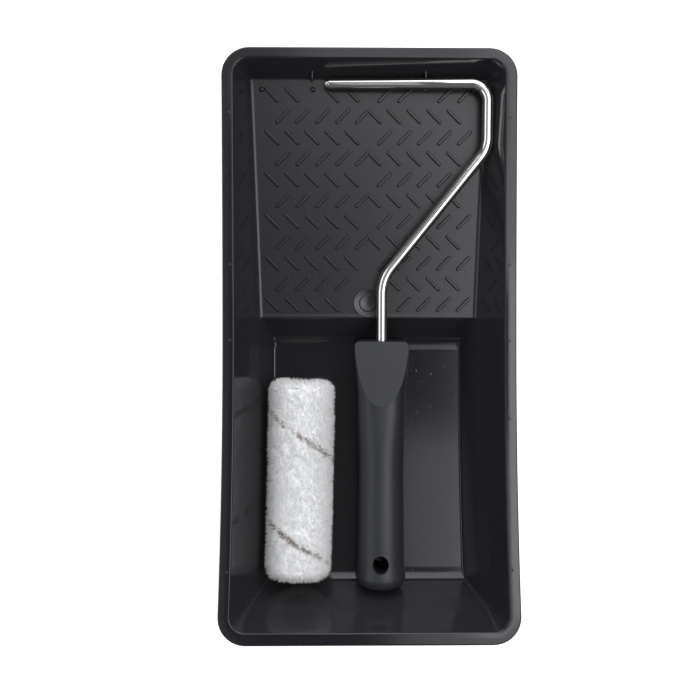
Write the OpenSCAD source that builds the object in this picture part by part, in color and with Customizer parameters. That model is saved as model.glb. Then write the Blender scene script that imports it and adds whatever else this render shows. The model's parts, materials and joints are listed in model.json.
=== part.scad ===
// Mini roller tray set: a one-piece moulded tray with a ramp and a well, a bent wire roller frame with
// its handle, and a loose roller sleeve that lies in the well. Millimetres, +Z up, +Y towards the ramp,
// origin on the table under the middle of the tray.

/* [Tray] */
// Length over the rim
tray_len = 300; // [296:1:304]
// Width over the rim at the waist
tray_waist = 147.6; // [146:0.2:150]
// Extra half width at the well end, where the sides flare
flare_well = 3.05; // [0:0.05:4]
// Extra half width at the ramp end
flare_ramp = 0.7; // [0:0.05:2]
// Height of the rim above the table
tray_h = 47; // [46.5:0.5:49]
// Thickness of the moulding
wall = 1.8; // [1.6:0.1:2]
// Width of the flat rim
rim_w = 5.7; // [5:0.1:6.5]
// Depth of the lip that turns down round the rim
lip_h = 6; // [4:0.5:8]
// Corner radius of the rim's outer edge
rim_r = 14; // [12:1:16]
// How far the walls lean outwards, across per unit of height
draft = 0.387; // [0.37:0.001:0.39]

/* [Well and ramp] */
// Height of the top of the well's floor
floor_z = 2; // [1.8:0.1:2.2]
// Lower edge of the ramp, from the middle of the tray
ramp_y = 14.6; // [14:0.1:15]
// Height of the ramp at its lower edge
ramp_z = 19.3; // [18:0.1:19.6]
// Slope of the ramp, in degrees
ramp_slope = 4.65; // [4:0.05:4.8]
// Foot of the riser between well and ramp
riser_foot_y = 4.6; // [4.4:0.1:5]
// Line where the floor starts to rise towards the riser
ledge_y = -1.7; // [-2.5:0.1:-1]

/* [Ramp bars] */
// Number of rows of raised bars
bar_rows = 11; // [5:2:11]
// Distance from row to row
row_pitch = 10.78; // [10.5:0.01:10.9]
// Distance from bar to bar in a row
bar_pitch = 10.35; // [10:0.05:10.5]
// Length of one bar
bar_len = 10.6; // [9:0.1:10.8]
// Width of one bar
bar_w = 1.4; // [1:0.1:1.8]
// Height of a bar above the ramp
bar_h = 1; // [0.5:0.1:1]

/* [Roller frame] */
// Diameter of the wire
wire_d = 6; // [5.9:0.05:6]
// Distance from the handle's butt to the axle
axle_v = 263.3; // [262:0.1:264]
// How far the cranked run of wire stands to the right of the handle's axis
crank_u = 53.65; // [52:0.05:54]
// Free end of the axle, left of the handle's axis
axle_tip_u = -29.55; // [-32:0.05:-28]
// Length of the handle
handle_len = 131.6; // [128:0.1:132]
// Thickness of the handle from its back to its face
handle_t = 24; // [22:0.5:24]
// Radius of the hole that the handle hangs by
hang_r = 4.2; // [3.5:0.1:4.5]
// Slope of the frame as it lies in the tray, in degrees
frame_pitch = 4.6; // [4.5:0.05:4.7]
// Roll of the frame as it lies in the tray, in degrees
frame_roll = 3; // [2.8:0.1:3.2]

/* [Sleeve] */
// Outer diameter over the pile
pile_d = 35; // [32:0.5:35]
// Length over the pile
pile_len = 107.6; // [104:0.2:108]
// Length of the core tube
core_len = 101.6; // [100:0.1:102]
// Outer diameter of the core tube
core_d = 17; // [16.6:0.1:17.4]
// Wall of the core tube
core_wall = 1; // [0.9:0.1:1.1]
// Turn of the loose sleeve in the well, in degrees
sleeve_turn = -1.2; // [-1.5:0.1:1]

/* [Hidden] */
$fn = 48;

half_len = tray_len / 2;
wall_across = wall * sqrt(1 + draft * draft);
corner_steps = 6;
side_steps = 14;
rim_inner_r = 8;
floor_corner_r = 5;
over = 13;                      // how far cutting shapes run past the rim
reach = 170;                    // how far profiles run past the tray's ends
cove_y = -121.5;                // where the floor starts to rise to the end wall
cove_slope = 0.43;
ledge_end = [2.4, floor_z + 0.35];
riser_foot_z = floor_z + 1.9;
bar_sink = 0.6;                 // how deep raised details are rooted in the ramp
first_bar_x = 8.5;              // nearest bars to the middle in the odd rows
even_bar_x = 13.3;              // nearest side bars in the even rows
chevron_x = 3.05;               // arms of the middle chevron in the even rows
first_row_y = 129.9;
pip_r = 1.2;
pip_x = [-55, -28.8, 29.2, 55];
pip_y = 132.6;
roundel_y = 22.9;
roundel_r = 7;
leg_x = 29;
leg_y = 128;
leg_w = 18;
leg_web = 12;

wire_r = wire_d / 2;
stub_r = 2;                     // turned-down end of the axle
stub_len = 1.6;
low_bend_v = 163.7;
crank_v = 230.3;
crank_angle = atan(crank_u / (crank_v - low_bend_v));
low_bend_r = 22;
crank_bend_r = 16;
axle_bend_r = 9;
bend_thinning = 0.02;
run_lap = 0.2;                  // how far straight runs reach into the bends
wire_root_v = 62;               // end of the wire inside the handle
butt = [7.05, -128.1, 14.2];    // middle of the handle's butt, as it lies in the tray
hang_v = 15.2;
handle_round = 7;               // of the butt, seen from above
side_round = 9;                 // of the butt, seen from the side
facet_v = 99;                   // point of the flat shield on the handle's face
facet_slope = 9.5;

sleeve_clear = 0.3;             // gap under the loose sleeve
sleeve_mid = [-35.6, -69.7, floor_z + sleeve_clear + pile_d / 2];
core_r = core_d / 2;
core_bore_r = core_r - core_wall;
axle_clear = 0.05;
plug_len = 9;
flange_t = 1.2;
flange_r = core_r - 0.2;
cup_len = 16;
cup_r = 5.05;                   // seat in which the collet turns
collet_r = 5;
collet_len = 12;
collet_slot = 1;
pile_round = 4;

// ---- tray outline -------------------------------------------------------------------------------

// how much further out the side is at y than at the waist
function flare(y) = (y < 0 ? flare_well : flare_ramp) * pow(y / half_len, 2);

function side_x(y, inset) = tray_waist / 2 + flare(y) - inset;

function arc(x, y, r, start) =
    [for (i = [0 : corner_steps]) let (a = start + 90 * i / corner_steps) [x + r * cos(a), y + r * sin(a)]];

// the bowed outline of the tray, moved in by inset, with corners of radius r
function outline(inset, r) =
    let (y_end = half_len - inset - r, step = 2 * y_end / side_steps,
         x_ramp = side_x(y_end, inset) - r, x_well = side_x(-y_end, inset) - r)
    concat(
        [for (i = [1 : side_steps - 1]) let (y = -y_end + step * i) [side_x(y, inset), y]],
        arc(x_ramp, y_end, r, 0),
        arc(-x_ramp, y_end, r, 90),
        [for (i = [1 : side_steps - 1]) let (y = y_end - step * i) [-side_x(y, inset), y]],
        arc(-x_well, -y_end, r, 180),
        arc(x_well, -y_end, r, 270));

// how far the inner face of the wall lies inside the rim's outer edge, at height z
function wall_inset(z) = rim_w + draft * (tray_h - z);

function ramp_height(y) = ramp_z + (y - ramp_y) * tan(ramp_slope);

// a solid between two outlines of the same number of points
module loft(low, low_z, high, high_z) {
    n = len(low);
    polyhedron(
        concat([for (p = low) [p.x, p.y, low_z]], [for (p = high) [p.x, p.y, high_z]]),
        concat(
            [[for (i = [0 : n - 1]) i]],
            [[for (i = [n - 1 : -1 : 0]) n + i]],
            [for (i = [0 : n - 1]) [i, n + i, n + (i + 1) % n, (i + 1) % n]]));
}

// extrudes an outline in Y and Z across the whole width of the tray
module across_tray(points) {
    translate([-reach, 0, 0])
        rotate([90, 0, 90])
            linear_extrude(2 * reach)
                polygon(points);
}

// the space inside the walls, open at the top
module cavity() {
    intersection() {
        loft(outline(wall_inset(0), floor_corner_r), 0,
             outline(wall_inset(tray_h + over), rim_inner_r), tray_h + over);
        across_tray([
            [-reach, floor_z + cove_slope * (cove_y + reach)],
            [cove_y, floor_z],
            [ledge_y, floor_z],
            ledge_end,
            [riser_foot_y, riser_foot_z],
            [ramp_y, ramp_z],
            [reach, ramp_height(reach)],
            [reach, tray_h + 2 * over],
            [-reach, tray_h + 2 * over]]);
    }
}

// the outside of the walls, with the step under the ramp
module outer_body() {
    intersection() {
        loft(outline(wall_inset(-1) - wall_across, floor_corner_r), -1,
             outline(wall_inset(tray_h - 1) - wall_across, rim_inner_r + wall), tray_h - 1);
        across_tray([
            [-reach, 0],
            [riser_foot_y + wall, 0],
            [ramp_y + wall_across, ramp_z - wall],
            [reach, ramp_height(reach) - wall],
            [reach, tray_h],
            [-reach, tray_h]]);
    }
}

module rim() {
    translate([0, 0, tray_h - wall])
        linear_extrude(wall)
            polygon(outline(0, rim_r));
    translate([0, 0, tray_h - lip_h])
        linear_extrude(lip_h - wall / 2)
            difference() {
                polygon(outline(0, rim_r));
                polygon(outline(wall, rim_r - wall));
            }
}

// places a detail on the ramp's surface
module on_ramp(x, y) {
    translate([x, y, ramp_height(y)])
        rotate([ramp_slope, 0, 0])
            children();
}

module bar(x, y, turn) {
    half = bar_len / 2;
    side = bar_w / 2;
    on_ramp(x, y)
        rotate([0, 0, turn])
            translate([0, 0, -bar_sink])
                linear_extrude(bar_sink + bar_h)
                    polygon([[-half, 0], [side - half, -side], [half - side, -side],
                             [half, 0], [half - side, side], [side - half, side]]);
}

// odd rows lean in towards the middle, even rows lean out and meet in a chevron
module ramp_bars() {
    for (row = [0 : bar_rows - 1]) {
        y = first_row_y - row * row_pitch;
        even = row % 2 == 1;
        last = row == bar_rows - 1;
        for (side = [-1, 1]) {
            for (i = [0 : even ? 3 : 4]) {
                beside_pip = row == 0 && i == 2;
                beside_roundel = last && i == 0;
                x = (even ? even_bar_x : first_bar_x) + i * bar_pitch;
                if (!beside_pip && !beside_roundel)
                    bar(side * x, y, (even ? -45 : 45) * side);
            }
            if (even && row != bar_rows - 2)
                bar(side * chevron_x, y, -45 * side);
        }
    }
}

// small domes left at the top of the ramp
module pips() {
    for (x = pip_x)
        on_ramp(x, pip_y)
            sphere(r = pip_r);
}

// a plain round boss at the foot of the ramp
module roundel() {
    on_ramp(0, roundel_y)
        translate([0, 0, -bar_sink])
            difference() {
                cylinder(r = roundel_r, h = bar_sink + bar_h);
                translate([0, 0, bar_sink + bar_h / 2])
                    difference() {
                        cylinder(r = roundel_r - 1.2, h = bar_h);
                        translate([0, 0, -bar_h])
                            cylinder(r = roundel_r - 2.8, h = 3 * bar_h);
                    }
            }
}

// two T-shaped legs hold up the shallow end
module legs() {
    for (side = [-1, 1]) {
        translate([side * leg_x - leg_w / 2, leg_y, 0])
            cube([leg_w, wall, ramp_height(leg_y) - wall / 2]);
        translate([side * leg_x - wall / 2, leg_y - leg_web, 0])
            cube([wall, leg_web + wall / 2, ramp_height(leg_y - leg_web) - wall / 2]);
    }
}

module tray() {
    color("#1c1c1e") {
        difference() {
            union() {
                outer_body();
                rim();
            }
            cavity();
        }
        ramp_bars();
        pips();
        roundel();
        legs();
    }
}

// ---- roller frame -------------------------------------------------------------------------------

// the frame's own axes: u across, v along the handle from its butt, w up out of its face
module as_it_lies() {
    translate(butt)
        rotate([frame_pitch, 0, 0])
            rotate([0, -frame_roll, 0])
                children();
}

// a straight rod from (u, v), turned from +v towards +u by turn degrees, that runs lap past each end
module run(u, v, turn, length, r = wire_r, lap = run_lap) {
    translate([u, v, 0])
        rotate([0, 0, -turn])
            rotate([-90, 0, 0])
                translate([0, 0, -lap])
                    cylinder(r = r, h = length + 2 * lap);
}

// a bend of wire round the centre (u, v), from start by sweep degrees; bending draws the wire thinner
module bend(u, v, r, start, sweep) {
    translate([u, v, 0])
        rotate([0, 0, start])
            rotate_extrude(angle = sweep)
                translate([r, 0])
                    circle(wire_r - bend_thinning);
}

module wire_frame() {
    low_t = low_bend_r * tan(crank_angle / 2);
    crank_t = crank_bend_r * tan(crank_angle / 2);
    slant = crank_u / sin(crank_angle) - low_t - crank_t;
    low_end = [low_t * sin(crank_angle), low_bend_v + low_t * cos(crank_angle)];
    color("#d0d2d4")
        as_it_lies() {
            run(0, wire_root_v, 0, low_bend_v - low_t - wire_root_v);
            bend(low_bend_r, low_bend_v - low_t, low_bend_r, 180 - crank_angle, crank_angle);
            run(low_end.x, low_end.y, crank_angle, slant);
            bend(crank_u - crank_bend_r, crank_v + crank_t, crank_bend_r, -crank_angle, crank_angle);
            run(crank_u, crank_v + crank_t, 0, axle_v - axle_bend_r - crank_v - crank_t);
            bend(crank_u - axle_bend_r, axle_v - axle_bend_r, axle_bend_r, 0, 90);
            run(crank_u - axle_bend_r, axle_v, -90, crank_u - axle_bend_r - axle_tip_u - stub_len);
            run(axle_tip_u + 3 * stub_len, axle_v, -90, 3 * stub_len, stub_r, 0);
        }
}

// radius of the handle at v: full at the butt, slim in the middle, flared at the wire
function grip_r(v) =
    let (knots = [[0, 13.2], [22, 12.3], [62, 11.8], [98, 12.3], [handle_len, 14.3]],
         i = v < knots[1].x ? 0 : v < knots[2].x ? 1 : v < knots[3].x ? 2 : 3,
         t = (v - knots[i].x) / (knots[i + 1].x - knots[i].x))
    knots[i].y + (knots[i + 1].y - knots[i].y) * (1 - cos(180 * t)) / 2;

module handle() {
    butt_r = grip_r(handle_round);
    top_round = 3;
    top_r = grip_r(handle_len - top_round);
    profile = concat(
        [[0, 0]],
        [for (a = [0 : 15 : 90])
            [butt_r - handle_round * (1 - sin(a)), handle_round * (1 - cos(a))]],
        [for (v = [12 : 8 : handle_len - top_round - 1]) [grip_r(v), v]],
        [for (a = [0 : 30 : 90])
            [top_r - top_round * (1 - cos(a)), handle_len - top_round * (1 - sin(a))]],
        [[0, handle_len]]);
    // seen from the side the handle is a slab with a round butt
    side_profile = concat(
        [for (a = [0 : 15 : 90])
            [side_round * (1 - cos(a)), -handle_t / 2 + side_round * (1 - sin(a))]],
        [[handle_len + 1, -handle_t / 2], [handle_len + 1, handle_t / 2]],
        [for (a = [90 : -15 : 0])
            [side_round * (1 - cos(a)), handle_t / 2 - side_round * (1 - sin(a))]]);
    color("#3a3b3e")
        as_it_lies()
            difference() {
                intersection() {
                    rotate([-90, 0, 0])
                        rotate_extrude()
                            polygon(profile);
                    translate([-handle_t, 0, 0])
                        rotate([90, 0, 90])
                            linear_extrude(2 * handle_t)
                                polygon(side_profile);
                }
                translate([0, facet_v, grip_r(facet_v)])
                    rotate([-facet_slope, 0, 0])
                        translate([-handle_t, -1, 0])
                            cube([2 * handle_t, handle_len, handle_t]);
                run(0, wire_root_v, 0, handle_len, wire_r, run_lap);
                translate([0, hang_v, -handle_t])
                    cylinder(r = hang_r, h = 2 * handle_t);
            }
}

// ---- loose sleeve -------------------------------------------------------------------------------

// the sleeve's own axis runs along Z here, from its closed end at -core_len / 2 to its open end
module in_well() {
    translate(sleeve_mid)
        rotate([0, 0, sleeve_turn])
            rotate([-90, 0, 0])
                children();
}

module core_tube() {
    color("#b9b6ae")
        in_well()
            difference() {
                cylinder(r = core_r, h = core_len, center = true);
                cylinder(r = core_bore_r, h = core_len + 2, center = true);
            }
}

module pile_cover() {
    outer = pile_d / 2;
    end = pile_len / 2;
    color("#f2f1ec")
        in_well()
            rotate_extrude()
                difference() {
                    translate([core_r, -end])
                        square([outer - core_r, pile_len]);
                    for (side = [-1, 1])
                        translate([outer - pile_round, side * (end - pile_round)])
                            difference() {
                                translate([0, side < 0 ? -pile_round - 1 : 0])
                                    square(pile_round + 1);
                                circle(pile_round);
                            }
                }
}

module open_end_bearing() {
    color("#e4e2da")
        in_well()
            translate([0, 0, core_len / 2 - plug_len])
                difference() {
                    union() {
                        cylinder(r = core_bore_r, h = plug_len);
                        translate([0, 0, plug_len])
                            cylinder(r = flange_r, h = flange_t);
                    }
                    translate([0, 0, -1])
                        cylinder(r = wire_r + axle_clear, h = plug_len + flange_t + 2);
                }
}

module closed_end_bearing() {
    color("#e4e2da")
        in_well()
            translate([0, 0, -core_len / 2])
                difference() {
                    union() {
                        cylinder(r = core_bore_r, h = cup_len);
                        translate([0, 0, -flange_t])
                            cylinder(r = flange_r, h = flange_t);
                    }
                    translate([0, 0, 1.5])
                        cylinder(r = cup_r, h = cup_len - 2.5);
                    translate([0, 0, 2])
                        cylinder(r = collet_r - 0.6, h = cup_len);
                }
}

// grips the end of the axle and stands still while the sleeve turns round it
module snap_collet() {
    color("#2f6fb0")
        in_well()
            translate([0, 0, 2 - core_len / 2])
                difference() {
                    cylinder(r = collet_r, h = collet_len);
                    translate([0, 0, 1.5])
                        cylinder(r = wire_r + axle_clear, h = collet_len);
                    for (turn = [0, 90])
                        rotate([0, 0, turn])
                            translate([-collet_r - 1, -collet_slot / 2, collet_len / 3])
                                cube([2 * collet_r + 2, collet_slot, collet_len]);
                }
}

tray();
wire_frame();
handle();
core_tube();
pile_cover();
open_end_bearing();
closed_end_bearing();
snap_collet();
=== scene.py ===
# %% [markdown]
# # A mini roller tray set
# This lesson dresses a packed CAD model: a black moulded tray, a bent wire roller frame with its
# handle, and a loose roller sleeve. The CAD solids carry the motion, and every visible piece is
# either a CAD solid with a better finish or a finer mesh that stands for one of them.

import json
import math
import random

import bmesh
import bpy
from mathutils import Matrix, Vector, noise


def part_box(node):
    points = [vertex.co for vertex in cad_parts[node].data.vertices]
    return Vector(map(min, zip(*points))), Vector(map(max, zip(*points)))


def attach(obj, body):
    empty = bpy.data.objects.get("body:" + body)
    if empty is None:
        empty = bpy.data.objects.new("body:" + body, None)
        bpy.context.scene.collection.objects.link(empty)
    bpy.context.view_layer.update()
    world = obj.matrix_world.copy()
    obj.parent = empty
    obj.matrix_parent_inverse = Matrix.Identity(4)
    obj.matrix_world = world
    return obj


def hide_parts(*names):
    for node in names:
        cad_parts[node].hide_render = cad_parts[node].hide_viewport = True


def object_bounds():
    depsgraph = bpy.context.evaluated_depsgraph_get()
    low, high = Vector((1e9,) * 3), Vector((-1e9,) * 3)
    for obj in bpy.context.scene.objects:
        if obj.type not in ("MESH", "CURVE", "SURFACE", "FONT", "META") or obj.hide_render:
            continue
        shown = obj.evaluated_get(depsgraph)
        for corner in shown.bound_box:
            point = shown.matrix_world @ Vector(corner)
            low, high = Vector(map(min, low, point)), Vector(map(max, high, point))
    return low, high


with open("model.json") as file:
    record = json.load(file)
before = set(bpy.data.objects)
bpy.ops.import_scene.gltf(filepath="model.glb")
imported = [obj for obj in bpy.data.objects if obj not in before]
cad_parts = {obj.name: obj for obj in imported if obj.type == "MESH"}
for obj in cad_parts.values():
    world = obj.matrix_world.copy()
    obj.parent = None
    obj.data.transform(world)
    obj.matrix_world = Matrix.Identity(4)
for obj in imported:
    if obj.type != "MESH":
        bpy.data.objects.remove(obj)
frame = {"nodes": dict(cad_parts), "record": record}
cad_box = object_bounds()

MM = 0.001
record = frame["record"]
mounts = {mount["name"]: mount for mount in record["mounts"]}
joints = {joint["name"]: joint for joint in record["behaviour"]["joints"]}

# %% [markdown]
# ## Shader maths as Python
# A node tree is easiest to read as a formula. It could be wired up link by link, but `Shade` keeps it
# short: it holds one socket, its operators add Math nodes, and `node` adds any other node from its
# type, its settings and the values or links of its inputs.

# %% One socket of a node tree
class Shade:
    def __init__(self, tree, socket=None):
        self.tree = tree
        self.socket = socket

    def plug(self, socket, value):
        """Links a Shade to the socket, or sets the socket to a number or a colour."""
        if isinstance(value, Shade):
            self.tree.links.new(value.socket, socket)
        elif isinstance(value, tuple):
            socket.default_value = (*value, 1)
        else:
            socket.default_value = value

    def node(self, kind, settings=None, inputs=None, output=0):
        made = self.tree.nodes.new("ShaderNode" + kind)
        for name, value in (settings or {}).items():
            setattr(made, name, value)
        for name, value in (inputs or {}).items():
            self.plug(made.inputs[name], value)
        return Shade(self.tree, made.outputs[output])

    def math(self, operation, first, second):
        return self.node("Math", {"operation": operation}, {0: first, 1: second})

    def __add__(self, other):
        return self.math("ADD", self, other)

    def __sub__(self, other):
        return self.math("SUBTRACT", self, other)

    def __rsub__(self, other):
        return self.math("SUBTRACT", other, self)

    def __mul__(self, other):
        return self.math("MULTIPLY", self, other)

    __radd__ = __add__
    __rmul__ = __mul__

    def upward(self):
        """The Z part of a vector."""
        return self.node("SeparateXYZ", inputs={"Vector": self}, output=2)

    def above(self, low, high):
        """0 below low, 1 above high, and a smooth slope between them."""
        inputs = {"Value": self, "From Min": low, "From Max": high}
        return self.node("MapRange", {"interpolation_type": "SMOOTHSTEP"}, inputs)

    def blend(self, first, second):
        """The first colour where this is 0 and the second where it is 1."""
        return self.node("Mix", {"data_type": "RGBA"}, {0: self, 6: first, 7: second}, output=2)


print("a Shade has", [name for name in vars(Shade) if not name.startswith("__")])


# %% [markdown]
# ### Starting and dressing a material
# Every finish begins with the surface shader and the object's own coordinates, so that a pattern stays
# where it is when a piece moves. What is the same all over goes on the shader's sockets; `dress` plugs
# in what varies: a colour, a roughness and a bump.

# %% A material's beginning and end
def start_material(name, **constants):
    """A new material, a Shade to add nodes with, the object's coordinates and the surface shader."""
    material = bpy.data.materials.new(name)
    material.use_nodes = True
    tree = material.node_tree
    shader = next(node for node in tree.nodes if node.type == "BSDF_PRINCIPLED")
    for socket, value in constants.items():
        shader.inputs[socket.replace("_", " ")].default_value = value
    shade = Shade(tree)
    place = shade.node("TexCoord", output=3)
    return material, shade, place, shader


def noise_at(shade, place, scale, detail=2, roughness=0.5):
    inputs = {"Vector": place, "Scale": scale, "Detail": detail, "Roughness": roughness}
    return shade.node("TexNoise", inputs=inputs)


def dress(shade, shader, colour, roughness, height, strength, distance):
    bump = shade.node("Bump", inputs={"Height": height, "Strength": strength, "Distance": distance})
    for name, value in (("Base Color", colour), ("Roughness", roughness), ("Normal", bump)):
        shade.plug(shader.inputs[name], value)


print("finishes vary in Base Color, Roughness and Normal")


# %% [markdown]
# ## Finishes
# The tray is injection moulded polypropylene: nearly black and glossy, with a faint orange peel and a
# little dust. One flat black would do for a distant view, but close up the parts of a moulding differ:
# level faces are deep black, and the ramp is duller than the well. Steep faces get a painted tone: the
# tray's steep walls a paler black, which is painted light for the light they mirror, and the bars'
# flanks the darkest black, which is painted shade. Height and slope tell them apart.

# %% Black moulding
ramp_starts = (0.018, 0.0195)
ramp_ends = (0.029, 0.031)
is_steep_below = (0.5, 0.9)


def black_moulding(name, painted_steep_black):
    material, shade, place, shader = start_material(name, Specular_IOR_Level=0.5)
    cloud = noise_at(shade, place, 9, 3)
    dust = noise_at(shade, place, 420, 2, 0.6).above(0.64, 0.8)
    peel = noise_at(shade, place, 900, 2)
    ripple = noise_at(shade, place, 22, 1)
    height = place.upward()
    at_ramp = height.above(*ramp_starts) - height.above(*ramp_ends)
    steep = 1.0 - shade.node("NewGeometry", output=1).upward().above(*is_steep_below)
    level_black = cloud.blend((0.0070, 0.0071, 0.0092), (0.0110, 0.0108, 0.0135))
    # Painted light and shade: steep faces take a tone of their own, a paler black on the tray's walls that
    # is painted light and the darkest black on the bars' flanks that is painted shade.
    black = steep.blend(level_black, painted_steep_black)
    dusty_black = (dust * 0.2).blend(black, (0.05, 0.05, 0.052))
    roughness = 0.10 + cloud * 0.03 + dust * 0.1 + at_ramp * 0.16
    dress(shade, shader, dusty_black, roughness, peel * 0.12 + ripple, 0.05, 0.002)
    return material


# the tray's steep walls are painted paler, as painted light for what they mirror
tray_black_painted_light = black_moulding("black_moulding", (0.0240, 0.0236, 0.0265))
# the bars' material paints their steep flanks darkest, as painted shade
bar_black_painted_shade = black_moulding("black_bars_painted_shade", (0.004, 0.004, 0.0045))
print("made", tray_black_painted_light.name, "and", bar_black_painted_shade.name)


# %% [markdown]
# ### The handle's plastic
# The handle is a softer, duller plastic with a fine spark-eroded grain, a touch bluer than the tray. A
# very fine noise drives both its bump and a little of its roughness, so highlights spread and fade.

# %% Charcoal handle
def satin_charcoal():
    material, shade, place, shader = start_material("satin_charcoal", Specular_IOR_Level=0.45)
    grain = noise_at(shade, place, 2600, 2, 0.6)
    cloud = noise_at(shade, place, 30, 3)
    charcoal = cloud.blend((0.0160, 0.0180, 0.0220), (0.0210, 0.0232, 0.0280))
    dress(shade, shader, charcoal, 0.36 + cloud * 0.06 + grain * 0.04, grain, 0.12, 0.0003)
    return material


handle_charcoal = satin_charcoal()
print("made", handle_charcoal.name)


# %% [markdown]
# ### The wire's plating
# The wire is drawn steel with bright plating, so it is a metal that mirrors the lights. A perfect
# mirror looks false: soft clouds change its roughness a little, and a few dull specks break it up.

# %% Bright plated wire
def bright_plating():
    material, shade, place, shader = start_material("bright_plating", Metallic=1.0)
    cloud = noise_at(shade, place, 60, 4)
    specks = noise_at(shade, place, 1100, 2).above(0.64, 0.74)
    plating = cloud.blend((0.60, 0.60, 0.60), (0.72, 0.715, 0.70))
    dress(shade, shader, plating, 0.05 + cloud * 0.05 + specks * 0.2, cloud, 0.04, 0.001)
    return material


wire_plating = bright_plating()
print("made", wire_plating.name)


# %% [markdown]
# ### The pile
# The pile is white microfibre with a dyed yarn woven in. The pattern follows the yarns, not the space
# round them, so each point of the mesh carries its own numbers: `dye`, 0 on white yarn and up to 1 on
# the dyed one, and `shade_of_yarn`, which makes one tuft a little greyer than the next. Fibres hand
# light on to each other; a faint glow in the colour of the yarn stands for that.

# %% White pile with a dyed yarn
def white_pile():
    material, shade, place, shader = start_material(
        "white_pile", Sheen_Weight=0.3, Sheen_Roughness=0.6, Emission_Strength=0.11)
    dye = shade.node("Attribute", {"attribute_name": "dye"}, output=2)
    yarn = shade.node("Attribute", {"attribute_name": "shade_of_yarn"}, output=2)
    fleck = noise_at(shade, place, 1500, 2)
    white = (yarn * 0.6 + fleck * 0.4).blend((0.715, 0.73, 0.73), (0.83, 0.845, 0.835))
    brown = fleck.blend((0.13, 0.095, 0.09), (0.34, 0.28, 0.26))
    cloth = dye.blend(white, brown)
    dress(shade, shader, cloth, 0.92, fleck, 0.2, 0.0004)
    shade.plug(shader.inputs["Emission Color"], cloth)
    return material


pile_white = white_pile()
print("made", pile_white.name)


# %% [markdown]
# ### Inside the sleeve
# Inside the sleeve are a resin-soaked paper tube and small plastic plugs. They hardly show, but they
# are real pieces, so each keeps its CAD solid and gets a grain of its own.

# %% Inner pieces
def grained(name, dark, light, roughness, grain_size):
    material, shade, place, shader = start_material(name)
    grain = noise_at(shade, place, grain_size, 3)
    dress(shade, shader, grain.blend(dark, light), roughness + grain * 0.1, grain, 0.1, 0.0004)
    return material


plug_dark = (0.66, 0.65, 0.6)
plug_light = (0.74, 0.73, 0.69)
inner_finishes = {
    "core_tube": grained("resin_paper", (0.42, 0.38, 0.31), (0.58, 0.54, 0.46), 0.6, 300),
    "open_end_bearing": grained("bearing_white", plug_dark, plug_light, 0.4, 500),
    "closed_end_bearing": grained("plug_white", plug_dark, plug_light, 0.4, 500),
    "snap_collet": grained("collet_blue", (0.06, 0.14, 0.3), (0.09, 0.19, 0.38), 0.35, 500),
}
for node, material in inner_finishes.items():
    frame["nodes"][node].material_slots[0].material = material
print("finished", sorted(inner_finishes))


# %% [markdown]
# ## Mesh helpers
# A few steps come back for every piece, so each is a function. `spun` turns a profile round the Z axis,
# `stamp` copies a small shape into a larger mesh, `bevel` softens edges, and `finish_piece` turns a
# bmesh into an object that rides on a body of the frame. Shading is smooth up to an angle, past which
# an edge is a real corner.

# %% Helpers
def finish_piece(name, mesh_in_work, body, slot, material, stands_for=(), corner=40):
    bmesh.ops.recalc_face_normals(mesh_in_work, faces=mesh_in_work.faces)
    mesh = bpy.data.meshes.new(name)
    mesh_in_work.to_mesh(mesh)
    mesh_in_work.free()
    mesh.shade_smooth()
    mesh.set_sharp_from_angle(angle=math.radians(corner))
    mesh.materials.append(material)
    piece = bpy.data.objects.new(name, mesh)
    bpy.context.collection.objects.link(piece)
    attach(piece, body)
    if stands_for:
        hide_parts(*stands_for)
    print(name, "has", len(mesh.polygons), "faces")
    return piece


def spun(profile, steps):
    """A bmesh of the (radius, height) points turned once round Z."""
    shape = bmesh.new()
    points = [shape.verts.new((radius, 0, height)) for radius, height in profile]
    for first, second in zip(points, points[1:]):
        shape.edges.new((first, second))
    bmesh.ops.spin(
        shape, geom=shape.verts[:] + shape.edges[:], cent=(0, 0, 0), axis=(0, 0, 1),
        dvec=(0, 0, 0), angle=math.tau, steps=steps, use_merge=True, use_duplicate=False)
    bmesh.ops.remove_doubles(shape, verts=shape.verts, dist=1e-6)
    return shape


def as_mesh(shape):
    """Turns a small bmesh into a mesh that stamp can copy."""
    bmesh.ops.recalc_face_normals(shape, faces=shape.faces)
    mesh = bpy.data.meshes.new("shape")
    shape.to_mesh(mesh)
    shape.free()
    return mesh


def stamp(target, mesh, matrix):
    copy = mesh.copy()
    copy.transform(matrix)
    target.from_mesh(copy)
    bpy.data.meshes.remove(copy)


def bevel(shape, edges, width, segments=3):
    bmesh.ops.bevel(
        shape, geom=edges, offset=width, offset_type="OFFSET", segments=segments, profile=0.5,
        affect="EDGES", material=-1, clamp_overlap=True)


print("helpers:", [helper.__name__ for helper in (finish_piece, spun, as_mesh, stamp, bevel)])


# %% [markdown]
# ## The tray's outline
# The tray is 300 mm long with sides that bow in at the waist, so no primitive has its outline. One lap
# round it is a list of stations: stations on the sides keep their y at every height, and stations in
# the corners turn round a centre that moves as the walls lean in. The lap is worked out for the right
# half and mirrored, so station i on the right faces station -1 - i on the left.

# %% Outline
tray_low, tray_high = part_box("tray")
rim_z = tray_high.z
half_len = tray_high.y
waist = 73.8 * MM
flare_well = 3.05 * MM
flare_ramp = 0.7 * MM
draft = 0.387
rim_w = 6.0 * MM
rim_r = 14 * MM
wall = 1.8 * MM
wall_across = wall * math.hypot(1, draft)
foot_r = 1.4 * MM
mouth_r = 8 * MM
mouth_from = 26 * MM
corner_steps = 9
end_lean = {-1: 1.1, 1: 0.93}


def side_x(y):
    return waist + (flare_well if y < 0 else flare_ramp) * (y / half_len) ** 2


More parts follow.
